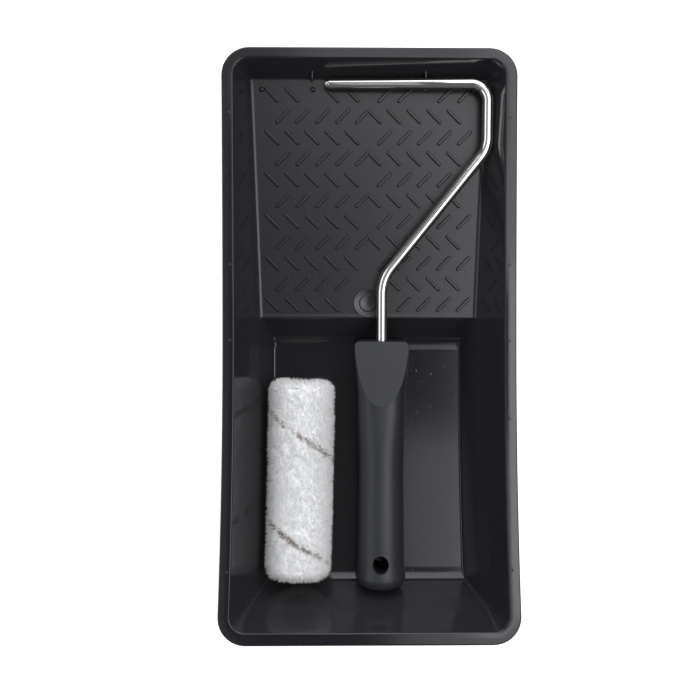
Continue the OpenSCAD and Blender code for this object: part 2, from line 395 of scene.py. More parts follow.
def station_point(station, inset, radius):
    kind, value = station
    if kind == "side":
        return Vector((side_x(value) - inset, value, 0))
    end = math.copysign(1, value)
    centre_y = end * (half_len - inset * end_lean[end] - radius)
    centre_x = side_x(centre_y) - inset - radius
    return Vector((centre_x + radius * math.cos(value), centre_y + radius * math.sin(value), 0))


def wall_inset(z):
    return rim_w + draft * (rim_z - z)


def wall_r(z):
    """Corners are tight at the ramp's level and below, and open out towards the rim."""
    return foot_r + (mouth_r - foot_r) * max(0, (z - mouth_from) / (rim_z - mouth_from))


print("outline from", round(side_x(0) / MM, 1), "to", round(side_x(-half_len) / MM, 1), "mm")


# %% [markdown]
# ## The tray's bed
# Seen from the side the bed is one line: the well's floor with a soft rise at each end, the riser, and
# the ramp with a low bead along its edge. A second line below it is the underside. Both are short
# lists of points that a person can draw, and `height` reads them at any y.

# %% Bed and underside
floor_z = 2 * MM
ramp_y = 14.6 * MM
ramp_z = 19.3 * MM
ramp_slope = math.radians(4.65)


def ramp_height(y):
    return ramp_z + (y - ramp_y) * math.tan(ramp_slope)


past_end = 170
bed = [(-past_end, 25.0), (-122.2, 2.35), (-121.6, 2.15), (-117.6, 2.03), (-117, 2.0), (-1.97, 2.0),
       (-0.7, 2.11), (0.57, 2.32), (1.84, 2.63), (3.1, 3.02), (3.95, 3.5), (4.6, 3.68), (5.2, 3.85),
       (5.7, 4.4), (9.0, 9.8), (13.2, 16.6), (14.0, 17.9), (14.35, 18.6), (14.7, 19.15),
       (15.1, 19.45), (15.6, 19.6), (16.3, 19.6), (16.9, 19.55), (17.6, 19.54)]
underside = [(-past_end, 0), (6.0, 0), (7.2, 0.5), (16.3, 16.6), (17.6, 17.7)]
ramp_end = ramp_height(past_end * MM)
bed = [(y * MM, z * MM) for y, z in bed] + [(past_end * MM, ramp_end)]
underside = [(y * MM, z * MM) for y, z in underside] + [(past_end * MM, ramp_end - wall)]


def height(line, y):
    for (y0, z0), (y1, z1) in zip(line, line[1:]):
        if y <= y1:
            return z0 + (z1 - z0) * (y - y0) / (y1 - y0)
    return line[-1][1]


print("the ramp rises to", round(ramp_height(half_len) / MM, 1), "mm")


# %% [markdown]
# ### Stations
# The loft needs a station wherever the bed or the underside bends, or the bend would be cut off. Long
# straight stretches get a few spare ones so that the bowed sides stay smooth, and each corner gets an
# arc of them.

# %% Stations
side_reach = 120 * MM
corner_nudge = 1e-9  # keeps the sign of a corner that lies at no angle
spare_ys = [MM * y for y in (-120, -100, -80, -60, -40, -20, 30, 45, 60, 75, 90, 105, 120, 128)]
breaks = [y for y, z in bed + underside if abs(y) < side_reach]
side_stations = [("side", y) for y in sorted(set(breaks + spare_ys))]
turn = [math.pi / 2 * step / corner_steps for step in range(corner_steps + 1)]
stations = ([("corner", -max(angle, corner_nudge)) for angle in reversed(turn)]
            + side_stations
            + [("corner", max(angle, corner_nudge)) for angle in turn])
print(len(stations), "stations on each side")


# %% [markdown]
# ## Lofting the moulding
# The skin is one closed sheet: it starts on the bed, turns up a small fillet, climbs the wall, rolls
# over the rim, goes down and up inside the lip, and follows the outside of the wall down to the
# underside. A box with bevels could give the walls, but not walls that meet a bent bed at a fillet of
# changing width. So each lap round the tray is worked out as a ring of points, fillets first: a fillet
# is a curve pulled towards the corner between wall and bed.

# %% Fillets
foot_ramp = 2.3 * MM
foot_well = 1.3 * MM
foot_end = 0.7 * MM


def foot_width(station):
    """The fillet is widest beside the ramp, narrower beside the well and smallest at the ends."""
    kind, value = station
    side = foot_ramp if value > 0 else foot_well
    towards_end = abs(math.sin(value)) if kind == "corner" else 0
    return side + (foot_end - side) * towards_end


def meet(station, inset_at, radius_at, line):
    """The height where the wall at this station meets the bed or the underside."""
    z = floor_z
    for _ in range(12):
        z = height(line, station_point(station, inset_at(z), radius_at(z)).y)
    return z


def foot_point(station, inset_at, radius_at, line, width, turned):
    """A point on the fillet between wall (turned 0) and bed (turned 1)."""
    z = meet(station, inset_at, radius_at, line)
    up = station_point(station, inset_at(z + width), radius_at(z + width)) + Vector((0, 0, z + width))
    corner = station_point(station, inset_at(z), radius_at(z)) + Vector((0, 0, z))
    along = station_point(station, inset_at(z) + width, radius_at(z) - width * 0.9)
    along.z = height(line, along.y)
    return up.lerp(corner, turned).lerp(corner.lerp(along, turned), turned)


def outer_inset(z):
    return wall_inset(z) - wall_across


def outer_r(z):
    return wall_r(z) + wall


print("fillets of", [round(width / MM, 1) for width in (foot_ramp, foot_well, foot_end)], "mm")


# %% [markdown]
# ### Rings
# A ring is one lap at one stage of the journey. The right half is worked out and mirrored. The rim's
# section is a list of points that a person can draw: how far in from the outer edge, and how deep below
# the top.

# %% Rings
outer_foot = 0.6 * MM
wall_top = rim_z - 1.4 * MM


def whole_lap(right):
    return right + [Vector((-point.x, point.y, point.z)) for point in reversed(right)]


def foot_ring(turned):
    return whole_lap([foot_point(station, wall_inset, wall_r, bed, foot_width(station), turned)
                      for station in stations])


def outer_foot_ring(turned):
    return whole_lap([foot_point(station, outer_inset, outer_r, underside, outer_foot, turned)
                      for station in stations])


def level_ring(inset, radius, z):
    return whole_lap([station_point(station, inset, radius) + Vector((0, 0, z)) for station in stations])


def wall_ring(part):
    """A ring part of the way from the fillet up to the rim."""
    ring = []
    for station in stations:
        z = meet(station, wall_inset, wall_r, bed) + foot_width(station)
        z += (wall_top - z) * part
        ring.append(station_point(station, wall_inset(z), wall_r(z)) + Vector((0, 0, z)))
    return whole_lap(ring)


rim_section = [(6.15, 0.75), (6.0, 0.4), (5.7, 0.12), (5.3, 0.0), (3.0, 0.0), (0.9, 0.03), (0.45, 0.1),
               (0.15, 0.35), (0.02, 0.7), (0.0, 1.2), (0.0, 5.6), (0.12, 5.85), (0.4, 6.0), (1.2, 6.0),
               (1.5, 5.85), (1.6, 5.6), (1.7, 2.6), (2.1, 2.05), (2.8, 1.85), (4.2, 1.85)]
rings = [foot_ring(turned) for turned in (1, 0.75, 0.5, 0.25, 0)]
rings += [wall_ring(part) for part in (0.33, 0.66, 1)]
rings += [level_ring(inset * MM, max(rim_r - inset * MM, wall_r(rim_z)), rim_z - depth * MM)
          for inset, depth in rim_section]
rings += [outer_foot_ring(turned) for turned in (0, 0.33, 0.66, 1)]
print(len(rings), "rings of", len(rings[0]), "points")


# %% [markdown]
# ### Skin
# The first ring is drawn and its edges are extruded; the new corners then move to the next ring's
# points, so neighbouring rings always match. The first and last ring are closed with strips that run
# straight across the tray, because the bed is bent in one direction only.

# %% Skin
def close_across(shape, ring):
    """Fills a ring with strips from each right station to the left one that faces it."""
    last = len(ring) // 2 - 1
    for i in range(last):
        shape.faces.new((ring[i], ring[i + 1], ring[-2 - i], ring[-1 - i]))


def loft(rings):
    shape = bmesh.new()
    corners = [shape.verts.new(point) for point in rings[0]]
    edges = [shape.edges.new((corners[i - 1], corners[i])) for i in range(len(corners))]
    close_across(shape, corners)
    for points in rings[1:]:
        made = bmesh.ops.extrude_edge_only(shape, edges=edges)["geom"]
        fresh = {item for item in made if isinstance(item, bmesh.types.BMVert)}
        edges = [item for item in made if isinstance(item, bmesh.types.BMEdge)]
        corners = [next(edge.other_vert(corner) for edge in corner.link_edges
                        if edge.other_vert(corner) in fresh) for corner in corners]
        for corner, point in zip(corners, points):
            corner.co = point
    close_across(shape, corners)
    return shape


moulding = loft(rings)
print("skin has", len(moulding.faces), "faces")


# %% [markdown]
# ## Raised bars
# The roller is worked out on rows of short slanting bars. A bump map could draw them, but it would
# leave the edge of a bar flat against the light, so they are real shapes. One bar is a cube with its
# upright edges rounded, its top drawn in and then its top edge softened. Its faces ask for the mesh's
# second material.

# %% One bar
bar_size = Vector((10.8, 2.3, 2.1)) * MM
bar_end_r = 1.07 * MM
bar_edge = 0.34 * MM
bar_draw_in = (0.93, 0.6, 1)


def bar_shape():
    shape = bmesh.new()
    bmesh.ops.create_cube(shape, size=1)
    bmesh.ops.scale(shape, vec=bar_size, verts=shape.verts)
    upright = [edge for edge in shape.edges if abs(edge.verts[0].co.z - edge.verts[1].co.z) > MM]
    bevel(shape, upright, bar_end_r, 4)
    top = [vert for vert in shape.verts if vert.co.z > 0]
    bmesh.ops.scale(shape, vec=bar_draw_in, verts=top)
    rim = [edge for edge in shape.edges if all(vert.co.z > 0 for vert in edge.verts)]
    bevel(shape, rim, bar_edge, 3)
    # the second material paints the bars' flanks darkest, as painted shade
    for face in shape.faces:
        face.material_index = 1
    return as_mesh(shape)


def on_ramp(x, y, turn=0.0):
    place = Matrix.Translation((x, y, ramp_height(y)))
    return place @ Matrix.Rotation(ramp_slope, 4, "X") @ Matrix.Rotation(turn, 4, "Z")


bar = bar_shape()
print("one bar has", len(bar.polygons), "faces")


# %% [markdown]
# ### Rows of bars
# The bar is stamped in odd rows that lean towards the middle and even rows that lean out and meet in a
# chevron. A few bars are missing beside the round boss and the small domes, as on the real mould.

# %% Rows of bars
first_row_y = 129.9 * MM
row_pitch = 10.78 * MM
bar_pitch = 10.35 * MM
odd_start = 8.5 * MM
even_start = 13.3 * MM
chevron_x = 3.05 * MM
lean = math.pi / 4
rows = 11
bar_count = 0
for row in range(rows):
    even = row % 2 == 1
    y = first_row_y - row * row_pitch
    nearest = even_start if even else odd_start
    turned = -lean if even else lean
    for side in (-1, 1):
        for column in range(4 if even else 5):
            beside_dome = row == 0 and column == 2
            beside_boss = row == rows - 1 and column == 0
            if beside_dome or beside_boss:
                continue
            x = side * (nearest + column * bar_pitch)
            stamp(moulding, bar, on_ramp(x, y, turned * side))
            bar_count += 1
        if even and row != rows - 2:
            stamp(moulding, bar, on_ramp(side * chevron_x, y, turned * side))
            bar_count += 1
print(bar_count, "bars")


# %% [markdown]
# ## Boss and domes
# The mould leaves small marks: a plain ringed boss at the foot of the ramp, domes at its top, and tiny
# points along the rim and on the well's floor. The boss is a profile turned round its own axis, and a
# dome is a sphere pressed flat and sunk to its middle.

# %% Boss and domes
boss_y = 22.9 * MM
dome_y = 132.6 * MM
boss_profile = [(0, 0.1), (2.6, 0.2), (3.6, 0.5), (4.2, 0.52), (4.6, 0.1), (5.2, 0.14), (6.4, 0.38),
                (7.2, 0.66), (7.5, 0.6), (7.8, 0.1), (8.0, -0.6), (0, -0.6)]
boss = as_mesh(spun([(radius * MM, z * MM) for radius, z in boss_profile], 48))
stamp(moulding, boss, on_ramp(0, boss_y))


def dome_shape(radius, rise):
    shape = bmesh.new()
    bmesh.ops.create_uvsphere(shape, u_segments=16, v_segments=10, radius=radius)
    bmesh.ops.scale(shape, vec=(1, 1, rise / radius), verts=shape.verts)
    return as_mesh(shape)


dome = dome_shape(1.45 * MM, 1.3 * MM)
point = dome_shape(0.8 * MM, 0.22 * MM)
for x in (-55, -28.8, 29.2, 55):
    stamp(moulding, dome, on_ramp(x * MM, dome_y))
rim_mid = rim_w * 0.62
point_sunk = 0.05 * MM
for side, ys in ((-1, (117, 41, 3, -113)), (1, (115, 41, 3, -36, -112))):
    for y in ys:
        x = side * (side_x(y * MM) - rim_mid)
        stamp(moulding, point, Matrix.Translation((x, y * MM, rim_z - point_sunk)))
for x, y in ((26.5, -13), (34.5, -14.6)):
    stamp(moulding, point, Matrix.Translation((x * MM, y * MM, floor_z)))
print("the moulding with its marks has", len(moulding.faces), "faces")


# %% [markdown]
# ## Legs and ribs
# The ramp's end hangs above the table, so two T-shaped legs carry it: a plate across and a web along.
# Behind two of the domes a thin rib climbs the end wall. All of them are boxes with softened edges that
# run into the skin, as a moulding's ribs do.

# %% Legs and ribs
def block(low, high, edge=0.3 * MM):
    """A box between two corners with its edges softened."""
    shape = bmesh.new()
    low, high = Vector(low), Vector(high)
    bmesh.ops.create_cube(shape, size=1)
    bmesh.ops.scale(shape, vec=high - low, verts=shape.verts)
    bmesh.ops.translate(shape, vec=(low + high) / 2, verts=shape.verts)
    bevel(shape, shape.edges[:], edge, 2)
    return as_mesh(shape)


leg_x = 29 * MM
leg_y = 128 * MM
leg_web = 12 * MM
leg_half = 9 * MM
rib_y = 137.5 * MM
rib_half = 0.4 * MM
rib_run = 3.4 * MM
rib_rise = 7 * MM
for x in (-leg_x, leg_x):
    plate = block((x - leg_half, leg_y, 0), (x + leg_half, leg_y + wall, ramp_height(leg_y) - wall / 2))
    web = block((x - wall / 2, leg_y - leg_web, 0),
                (x + wall / 2, leg_y + wall / 2, ramp_height(leg_y - leg_web) - wall / 2))
    rib = block((x - rib_half, rib_y - MM, ramp_height(rib_y) - MM),
                (x + rib_half, rib_y + rib_run, ramp_height(rib_y) + rib_rise), 0.2 * MM)
    for part in (plate, web, rib):
        stamp(moulding, part, Matrix.Identity(4))
print("legs", round(ramp_height(leg_y) / MM, 1), "mm tall")


# %% [markdown]
# ### The finished tray
# The moulding becomes one piece with two materials. A weighted normal keeps the large flat faces flat
# where they meet the small rounded ones.

# %% Tray piece
def keep_flats_flat(piece, weight):
    flat_first = piece.modifiers.new("flat_faces_stay_flat", "WEIGHTED_NORMAL")
    flat_first.keep_sharp = True
    flat_first.weight = weight


tray_piece = finish_piece("tray_moulding", moulding, "tray", "tray_plastic", tray_black_painted_light, ["tray"])
# the bars' material, whose darkest flanks are painted shade
tray_piece.data.materials.append(bar_black_painted_shade)
keep_flats_flat(tray_piece, 80)


# %% [markdown]
# ## The roller frame's own axes
# The frame lies aslant in the tray. Two mounts of the record say how: the axle's axis runs across the
# frame and the hanging hole's axis runs up out of the handle. From them comes one matrix, and the wire
# and handle are made flat in the frame's own axes, u across, v along the handle and w up.

# %% Axes of the roller frame
hang_v = 15.2 * MM
across = -Vector(mounts["axle"]["axis"])
up = Vector(mounts["hang_hole"]["axis"])
along = up.cross(across)
butt = Vector(mounts["hang_hole"]["pos_m"]) - along * hang_v
lies = Matrix((across, along, up)).transposed().to_4x4()
lies.translation = butt
axle_v = (Vector(mounts["axle"]["pos_m"]) - butt).dot(along)
print("the axle is", round(axle_v / MM, 1), "mm from the butt")


# %% [markdown]
# ## Bending the wire
# A rod is a circle pushed along a path. A curve with a round bevel would do, but its bends are only as
# true as its handles. Here straight runs are an extrusion and bends are a spin, so the wire is made the
# way a bending machine makes it: push, bend, push. `Rod` keeps the open end, its place and its heading.

# %% Bending machine
class Rod:
    def __init__(self, start, heading, radius, segments=40):
        self.shape = bmesh.new()
        self.end = Vector(start)
        self.heading = Vector(heading)
        facing = self.heading.to_track_quat("Z", "Y").to_matrix().to_4x4()
        made = bmesh.ops.create_circle(
            self.shape, segments=segments, radius=radius, cap_ends=True,
            matrix=Matrix.Translation(self.end) @ facing)
        self.ring = list(dict.fromkeys(edge for vert in made["verts"] for edge in vert.link_edges))

    def push(self, length, taper=1.0):
        moved = bmesh.ops.extrude_edge_only(self.shape, edges=self.ring)["geom"]
        verts = [item for item in moved if isinstance(item, bmesh.types.BMVert)]
        self.end = self.end + self.heading * length
        bmesh.ops.translate(self.shape, vec=self.heading * length, verts=verts)
        bmesh.ops.scale(self.shape, vec=(taper, taper, taper), verts=verts,
                        space=Matrix.Translation(-self.end))
        self.ring = [item for item in moved if isinstance(item, bmesh.types.BMEdge)]

    def bend(self, radius, angle, steps):
        """Turns left for a positive angle and right for a negative one, about the w axis."""
        side = math.copysign(1, angle)
        centre = self.end + Vector((-self.heading.y, self.heading.x, 0)) * radius * side
        verts = list(dict.fromkeys(vert for edge in self.ring for vert in edge.verts))
        made = bmesh.ops.spin(
            self.shape, geom=verts + self.ring, cent=centre, axis=(0, 0, 1), dvec=(0, 0, 0),
            angle=angle, steps=steps, use_merge=False, use_duplicate=False)["geom_last"]
        turned = Matrix.Rotation(angle, 3, "Z")
        self.end = centre + turned @ (self.end - centre)
        self.heading = turned @ self.heading
        self.ring = [item for item in made if isinstance(item, bmesh.types.BMEdge)]

    def close(self):
        bmesh.ops.contextual_create(self.shape, geom=self.ring)


print("a Rod can", [name for name in vars(Rod) if not name.startswith("__")])


# %% [markdown]
# ### The wire
# The wire leaves the handle, cranks out to the right, turns back along the handle's line and bends
# square into the axle. Where two straight runs meet, a bend eats the same length from both, so each
# push is the distance between corners less the bends' shares. The tip has a turned groove.

# %% Wire
wire_r = mounts["axle"]["dims"]["r_mm"] * MM
crank_u = 53.65 * MM
low_bend_v = 163.7 * MM
crank_v = 230.3 * MM
crank = math.atan2(crank_u, crank_v - low_bend_v)
low_r = 22 * MM
crank_r = 16 * MM
axle_r = 9 * MM
low_t = low_r * math.tan(crank / 2)
crank_t = crank_r * math.tan(crank / 2)
root_v = 62 * MM
tip_u = -29.55 * MM

rod = Rod((0, root_v, 0), (0, 1, 0), wire_r)
rod.push(low_bend_v - low_t - root_v)
rod.bend(low_r, -crank, 12)
rod.push(crank_u / math.sin(crank) - low_t - crank_t)
rod.bend(crank_r, crank, 12)
rod.push(axle_v - axle_r - crank_v - crank_t)
rod.bend(axle_r, math.pi / 2, 20)
tip_steps = ((0.25, 0.97), (0.25, 0.9), (0.1, 0.8), (0.9, 1.0), (0.35, 0.95), (0.25, 0.8))
rod.push(crank_u - axle_r - tip_u - MM * sum(length for length, taper in tip_steps))
for length, taper in tip_steps:
    rod.push(length * MM, taper)
rod.close()
bmesh.ops.transform(rod.shape, matrix=lies, verts=rod.shape.verts)
finish_piece("bent_wire", rod.shape, "roller_frame", "plated_wire", wire_plating, ["wire_frame"], 50)


# %% [markdown]
# ## Turning the handle
# The handle could be a cylinder pushed about by hand, but its shape is nearly that of a turned one:
# full at the butt, slim in the middle and flared at the wire. So it starts as a turned form, from a few
# radii along its length with an eased curve between them and a quarter circle at each end.

# %% Turned handle
handle_len = 131.6 * MM
half_t = 12 * MM
grip_knots = [(0, 13.2), (22, 12.3), (62, 11.8), (98, 12.3), (131.6, 14.3)]


def grip_r(v):
    """Radius at v: eased from knot to knot."""
    for (v0, r0), (v1, r1) in zip(grip_knots, grip_knots[1:]):
        if v <= v1 * MM or v1 == grip_knots[-1][0]:
            part = min(max((v / MM - v0) / (v1 - v0), 0), 1)
            return (r0 + (r1 - r0) * (1 - math.cos(math.pi * part)) / 2) * MM


butt_round = 6.5 * MM
top_round = 2.6 * MM
quarter = [math.pi / 2 * step / 8 for step in range(9)]
butt_v = 1.1 * MM
profile = [(0, butt_v)]
profile += [(grip_r(butt_round) - butt_round * (1 - math.sin(a)), butt_v + butt_round * (1 - math.cos(a)))
            for a in quarter]
profile += [(grip_r(v * MM), v * MM) for v in range(10, 128, 4)]
profile += [(grip_r(handle_len) - top_round * (1 - math.cos(a)), handle_len - top_round * (1 - math.sin(a)))
            for a in quarter]
profile += [(0, handle_len)]
handle = spun(profile, 72)
# the turned form stands on Z; lay it along v
bmesh.ops.rotate(handle, cent=(0, 0, 0), matrix=Matrix.Rotation(-math.pi / 2, 3, "X"), verts=handle.verts)
print("turned", len(handle.faces), "faces")


# %% [markdown]
# ### A squarer section
# Towards the wire the round section swells into a rounded square, which stops the handle from rolling
# in the hand. Each point moves out along its own radius until it lies on a superellipse.

# %% Squarer section
def squareness(v):
    """The power of the section: 2 is round, and larger is squarer."""
    return 2.15 + 1.35 * min(max((v - 70 * MM) / (45 * MM), 0), 1) ** 1.5


for vert in handle.verts:
    radius = math.hypot(vert.co.x, vert.co.z)
    if radius > MM:
        power = squareness(vert.co.y)
        spread = (abs(vert.co.x / radius) ** power + abs(vert.co.z / radius) ** power) ** (-1 / power)
        vert.co.x *= spread
        vert.co.z *= spread
print("squareness", squareness(0), "at the butt and", squareness(handle_len), "at the wire")


# %% [markdown]
# ### Flats
# The handle is cut flat in two places, each with a plane: its back, and the shield on its face at the
# wire end. A Boolean would also cut, but a bisecting plane is exact and leaves one clean loop of edges
# to close and soften.

# %% Flats on the handle
def flat(shape, point, normal, soften):
    """Cuts away what lies beyond a plane, closes the cut and softens its edge."""
    geom = shape.verts[:] + shape.edges[:] + shape.faces[:]
    bmesh.ops.bisect_plane(shape, geom=geom, dist=1e-7, plane_co=point, plane_no=normal,
                           clear_outer=True)
    rim = [edge for edge in shape.edges if edge.is_boundary]
    made = bmesh.ops.contextual_create(shape, geom=rim)["faces"]
    bevel(shape, list(dict.fromkeys(edge for face in made for edge in face.edges)), soften, 3)


def leaning(angle):
    """A unit vector that points up, leaning along v by angle."""
    return Vector((0, math.sin(angle), math.cos(angle)))


shield_v = 99 * MM
shield_slope = math.radians(9.5)
flat(handle, (0, 0, -half_t), (0, 0, -1), 1.2 * MM)
flat(handle, (0, shield_v, grip_r(shield_v)), leaning(shield_slope), 0.6 * MM)
print("handle with flats has", len(handle.faces), "faces")


# %% [markdown]
# ### Hanging hole
# The hole goes right through, so it needs a Boolean: a drill of its own shape, a little longer than
# wide, is taken away from the handle. The mouth's edges are then found by their distance from the axis
# and softened.

# %% Hanging hole
hole_forward = 0.7 * MM
hole_stretch = 1.15
hang_r = mounts["hang_hole"]["dims"]["r_mm"] * MM


def drill(shape, radius, v, stretch):
    """Cuts a hole along w through the shape at v, longer than wide, and softens its mouths."""
    solid = bpy.data.objects.new("solid", as_mesh(shape))
    bit_shape = bmesh.new()
    bmesh.ops.create_cone(bit_shape, cap_ends=True, segments=48, radius1=radius, radius2=radius, depth=0.1)
    bmesh.ops.scale(bit_shape, vec=(1, stretch, 1), verts=bit_shape.verts)
    bmesh.ops.translate(bit_shape, vec=(0, v, 0), verts=bit_shape.verts)
    bit = bpy.data.objects.new("bit", as_mesh(bit_shape))
    for item in (solid, bit):
        bpy.context.collection.objects.link(item)
    cut = solid.modifiers.new("cut", "BOOLEAN")
    cut.object = bit
    cut.operation = "DIFFERENCE"
    cut.solver = "EXACT"
    drilled = bpy.data.meshes.new_from_object(solid.evaluated_get(bpy.context.evaluated_depsgraph_get()))
    for item in (solid, bit):
        bpy.data.objects.remove(item)
    result = bmesh.new()
    result.from_mesh(drilled)
    bmesh.ops.remove_doubles(result, verts=result.verts, dist=1e-6)
    mouth = [edge for edge in result.edges
             if len(edge.link_faces) == 2 and edge.calc_face_angle(0) > math.radians(50)
             and all(abs(math.hypot(vert.co.x, (vert.co.y - v) / stretch) - radius) < 0.02 * MM
                     for vert in edge.verts)]
    bevel(result, mouth, 0.45 * MM, 3)
    return result


handle = drill(handle, hang_r, hang_v + hole_forward, hole_stretch)
bmesh.ops.transform(handle, matrix=lies, verts=handle.verts)
handle_piece = finish_piece("grip_handle", handle, "roller_frame", "handle_plastic", handle_charcoal,
                            ["handle"], 35)
keep_flats_flat(handle_piece, 60)


# %% [markdown]
# ## The pile
# The pile is thousands of soft tufts. Hair would look right, but the model needs real meshes.
# So the surface under the tufts is a turned ring with a lumpy skin, and over it go short bent cones that
# lean in clumps, because pressed microfibre lies in patches. First comes the sleeve's own place.

# %% Sleeve axes
spin = joints["sleeve_spin"]
sleeve_mid = Vector(spin["pos_m"])
sleeve_axis = Vector(spin["axis"]).normalized()
core_r = 8.5 * MM
pile_r = 18.0 * MM
pile_half = 53.0 * MM
nap = 2.6 * MM
end_round = 4.6 * MM
sleeve_lies = sleeve_axis.to_track_quat("Z", "Y").to_matrix().to_4x4()
sleeve_lies.translation = sleeve_mid + sleeve_axis * 0.5 * MM
print("sleeve", round(2 * pile_half / MM, 1), "mm long")


# %% [markdown]
# ### Backing
# The backing is a profile turned once round the sleeve's axis, with rounded shoulders and a bore that
# the core tube fills. Noise lifts its skin into soft lumps, so that no gap between tufts looks smooth.

# %% Backing
def pile_profile(step):
    """The outer section as (radius, height) points from one end's bore to the other's."""
    base_r = pile_r - nap
    base_half = pile_half - nap
    arc = [math.pi / 2 * i / 6 for i in range(7)]
    end = [(core_r, base_half)]
    end += [(base_r - end_round * (1 - math.sin(a)), base_half - end_round * (1 - math.cos(a)))
            for a in arc]
    straight = base_half - end_round
    count = int(2 * straight / step)
    side = [(base_r, straight - 2 * straight * i / count) for i in range(1, count)]
    return end + side + [(radius, -z) for radius, z in reversed(end)]


def lump(point):
    return noise.noise(point * 260) * 0.55 * MM + noise.noise(point * 90) * 0.35 * MM


yarn_seed = 7
random.seed(yarn_seed)
noise.seed_set(yarn_seed)
outer = pile_profile(1.3 * MM)
backing = spun(outer + [outer[0]], 110)
for vert in backing.verts:
    radius = math.hypot(vert.co.x, vert.co.y)
    if radius > core_r + 0.5 * MM:
        outward = Vector((vert.co.x, vert.co.y, 0)) / radius
        vert.co += outward * lump(vert.co)
print("backing has", len(backing.faces), "faces")


# %% [markdown]
# ### The dyed yarn
# One dyed yarn winds round the sleeve among the white ones and shows as a broken line of small dashes.
# A painted image would need a flat map of the pile; instead `dye_at` measures how far a point is from
# the yarn's helix, and noise lets the line wander, fray and break.

# %% Dye
stripe_pitch = 55 * MM
stripe_start = 22.9 * MM
stripe_w = 2.2 * MM
thinnest = 0.2 * MM
top_turn = math.atan2(*(sleeve_lies.to_3x3().transposed() @ Vector((0, 0, 1))).yx)
right = sleeve_lies.to_3x3().transposed() @ Vector((1, 0, 0))
right_turn = math.atan2(right.y, right.x)
sense = 1 if math.sin(right_turn - top_turn) > 0 else -1


def dye_at(point):
    """0 on white yarn, up to 1 on the dyed one."""
    around = (math.atan2(point.y, point.x) - top_turn) * sense / math.tau
    wander = noise.noise(Vector((around * 6, point.z * 50, 3.1))) * 2.2 * MM
    fray = noise.noise(point * 900) * 1.1 * MM
    off = (point.z - stripe_start + around * stripe_pitch + wander + fray) / stripe_pitch
    off = abs(off - round(off)) * stripe_pitch
    blot = 0.5 + noise.noise(Vector((around * 38, point.z * 120, 7.7))) * 1.2
    width = stripe_w * max(0.0, min(1.0, 0.3 + 1.8 * blot))
    if width <= thinnest:
        return 0.0
    return min(1.0, 1.5 * max(0.0, 1 - off / width)) * min(1.0, 0.45 + blot)


print("the dyed yarn climbs", round(stripe_pitch / MM), "mm in one turn")


# %% [markdown]
# ### One tuft
# A tuft is a three-sided cone in two lengths, bent to one side. It is repeated thousands of times, so it
# has only a handful of faces.

# %% One tuft
def tuft_shape():
    shape = bmesh.new()
    bmesh.ops.create_circle(shape, segments=3, radius=0.33 * MM, cap_ends=True)
    ring = [edge for edge in shape.edges]
    for rise, shift, taper in ((1.7, 0.18, 0.85), (3.6, 0.75, 0.0)):
        moved = bmesh.ops.extrude_edge_only(shape, edges=ring)["geom"]
        verts = [item for item in moved if isinstance(item, bmesh.types.BMVert)]
        for vert in verts:
            vert.co.z = rise * MM
        bmesh.ops.scale(shape, vec=(taper, taper, 1), verts=verts)
        bmesh.ops.translate(shape, vec=(shift * MM, 0, 0), verts=verts)
        ring = [item for item in moved if isinstance(item, bmesh.types.BMEdge)]
    bmesh.ops.remove_doubles(shape, verts=shape.verts, dist=1e-6)
    mesh = as_mesh(shape)
    corners = [vert.co.copy() for vert in mesh.vertices]
    faces = [tuple(polygon.vertices) for polygon in mesh.polygons]
    return corners, faces


tuft_corners, tuft_faces = tuft_shape()
print("a tuft has", len(tuft_faces), "faces")


# %% [markdown]
# ### Where tufts grow
# Tufts must be as dense on the shoulders as on the straight. Each stretch of the backing's profile is
# drawn as often as its share of the surface: its length times its distance from the axis.

# %% Places for tufts
def surface_points(count):
    """Even random points on the backing with their outward directions."""
    spans = []
    total = 0.0
    for (r0, z0), (r1, z1) in zip(outer, outer[1:]):
        total += math.hypot(r1 - r0, z1 - z0) * (r0 + r1) / 2
        spans.append((total, r0, z0, r1, z1))
    for _ in range(count):
        pick = random.random() * total
        reached, r0, z0, r1, z1 = next(span for span in spans if span[0] >= pick)
        part = random.random()
        angle = random.random() * math.tau
        radius = r0 + (r1 - r0) * part
        outward = Vector((z0 - z1, 0, r1 - r0)).normalized()
        turned = Matrix.Rotation(angle, 3, "Z")
        yield turned @ Vector((radius, 0, z0 + (z1 - z0) * part)), turned @ outward


tuft_count = 17000
print("backing profile has", len(outer), "points for", tuft_count, "tufts")


# %% [markdown]
# ### Planting
# Stamping thousands of copies one by one is slow, so the moved corners are gathered in one list and made
# a mesh at the end. Noise leans neighbours the same way and chance adds a little to each. Corners that
# stick out past the pile's radius or ends are pressed back, as a used roller's are. Each corner also
# gets a shading direction near the backing's own, which makes the pile look soft instead of spiky.

# %% Planting
root_depth = 0.9 * MM
coords = []
polygons = []
dyes = []
yarns = []
facings = []
for root, outward in surface_points(tuft_count):
    drift = noise.noise_vector(root * 210) * 0.45 + noise.noise_vector(root * 70) * 0.25
    stray = Vector([random.uniform(-0.42, 0.42) for _ in range(3)])
    heading = (outward + drift + stray).normalized()
    rolled = Matrix.Rotation(random.random() * math.tau, 3, "Z")
    facing = heading.to_track_quat("Z", "Y").to_matrix() @ rolled
    length = random.uniform(0.75, 1.08)
    first = len(coords)
    start = root - outward * root_depth + outward * lump(root)
    for corner in tuft_corners:
        spot = start + facing @ (corner * length)
        radius = math.hypot(spot.x, spot.y)
        if radius > pile_r:
            spot.x *= pile_r / radius
            spot.y *= pile_r / radius
        spot.z = max(-pile_half, min(pile_half, spot.z))
        coords.append(spot)
    polygons += [tuple(first + index for index in face) for face in tuft_faces]
    facings += [(outward + heading * 0.1).normalized()] * len(tuft_corners)
    dyes += [dye_at(root) * random.choice((0.35, 1.0, 1.0))] * len(tuft_corners)
    yarns += [random.random()] * len(tuft_corners)
